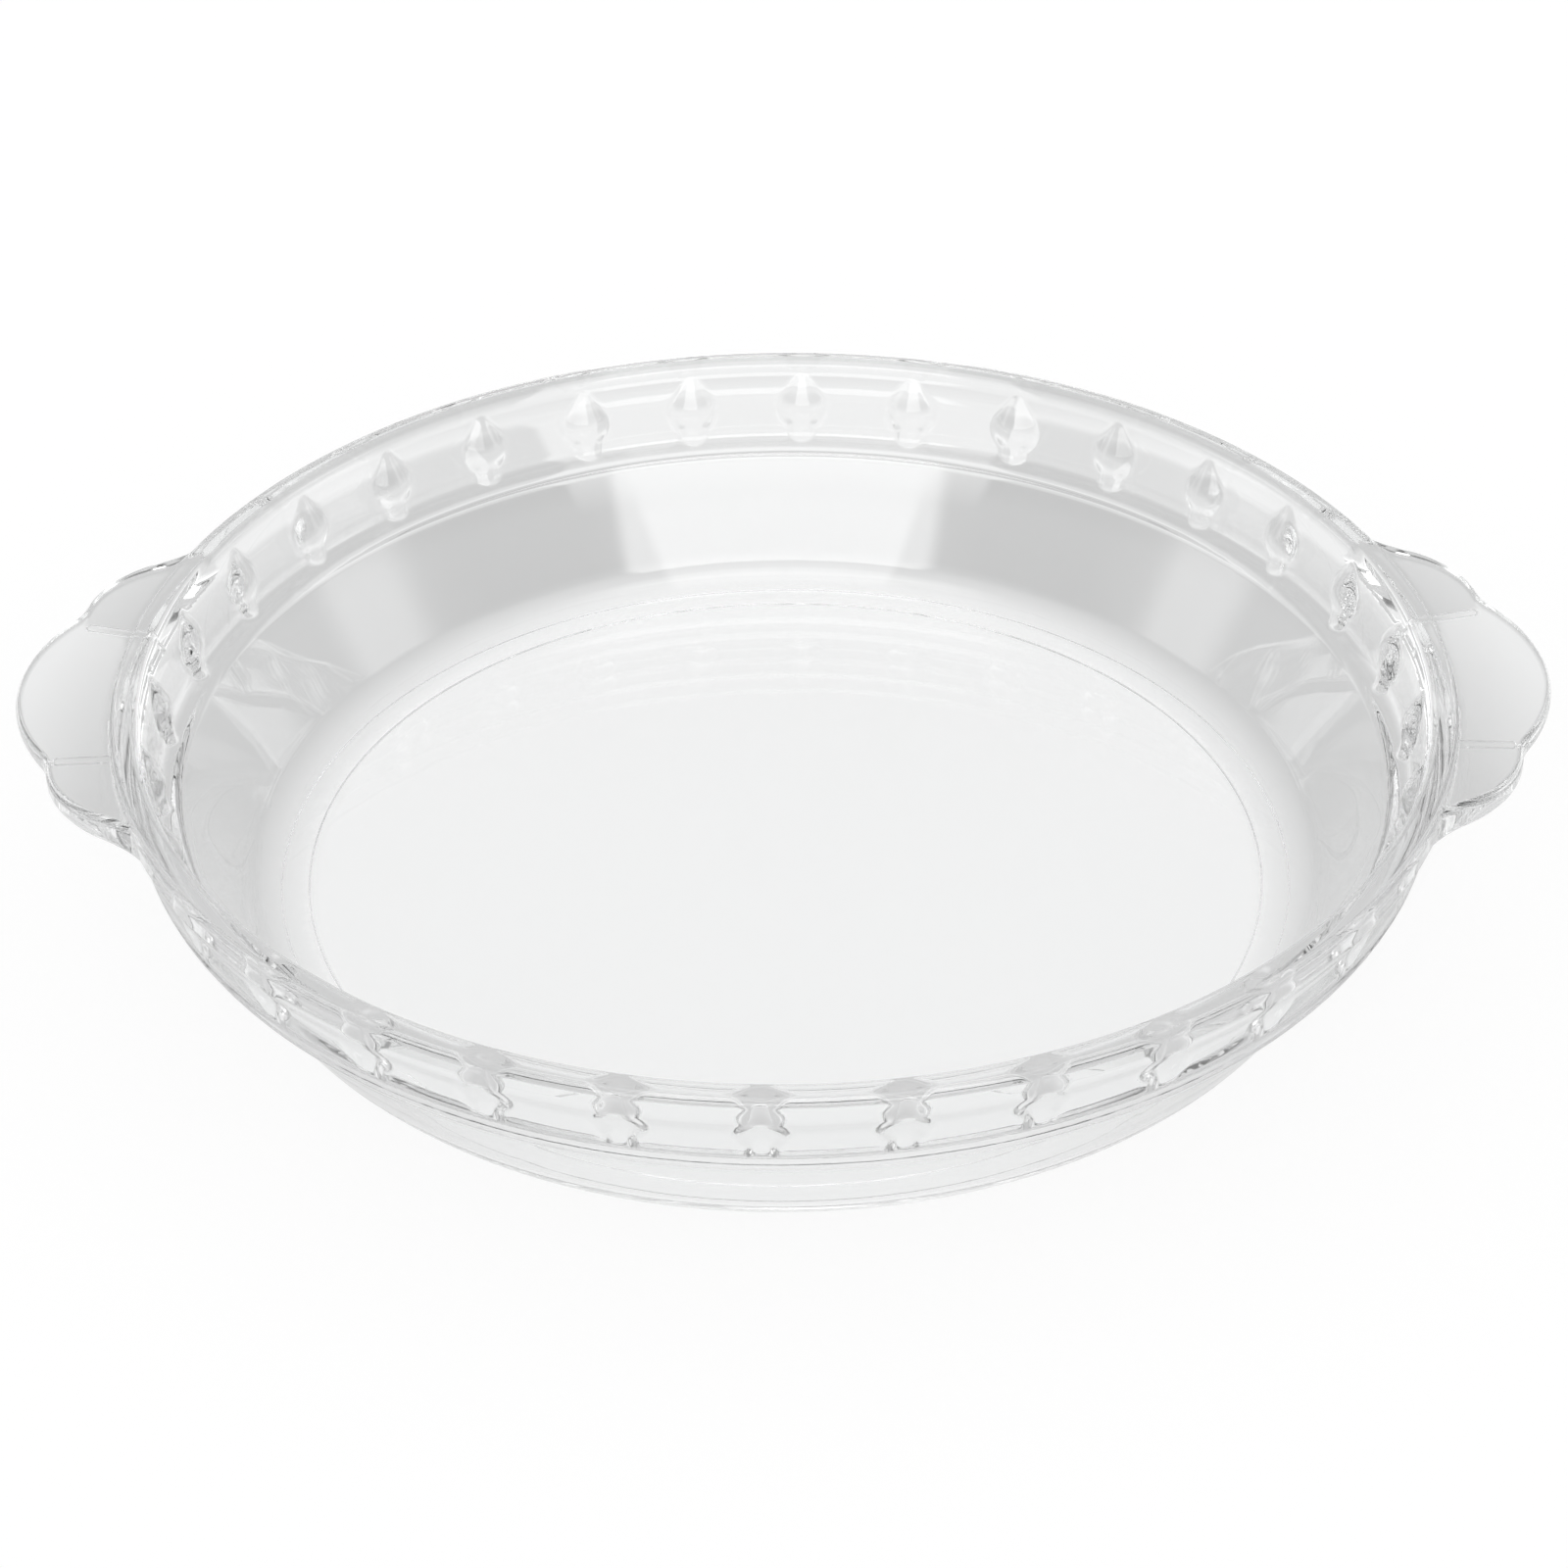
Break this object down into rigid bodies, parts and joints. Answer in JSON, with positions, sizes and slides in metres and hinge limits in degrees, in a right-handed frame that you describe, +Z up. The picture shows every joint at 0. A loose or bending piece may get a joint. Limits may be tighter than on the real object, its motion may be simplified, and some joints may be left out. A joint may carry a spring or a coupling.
{
  "type": "pie dish",
  "caption": "Round clear glass pie dish with a sloping wall, a ledge, a fluted band under a beaded rim, and a flat lobed handle on each side.",
  "frame": {"origin": "middle of the dish, on the plane that its foot ring stands on", "axes": "+Z up, out of the mouth of the dish; X through the two handles"},
  "size_m": [0.2854, 0.25, 0.0455],
  "materials": {
    "clear_glass": "clear pressed glass, fire polished"
  },
  "bodies": {
    "root": {"floor_panel": "clear_glass", "foot_ring": "clear_glass", "heel_corner": "clear_glass", "side_wall": "clear_glass", "ledge": "clear_glass", "fluted_band": "clear_glass", "rim_lip": "clear_glass", "right_handle": "clear_glass", "left_handle": "clear_glass", "right_handle_ribs": "clear_glass", "left_handle_ribs": "clear_glass"}
  },
  "joints": []
}
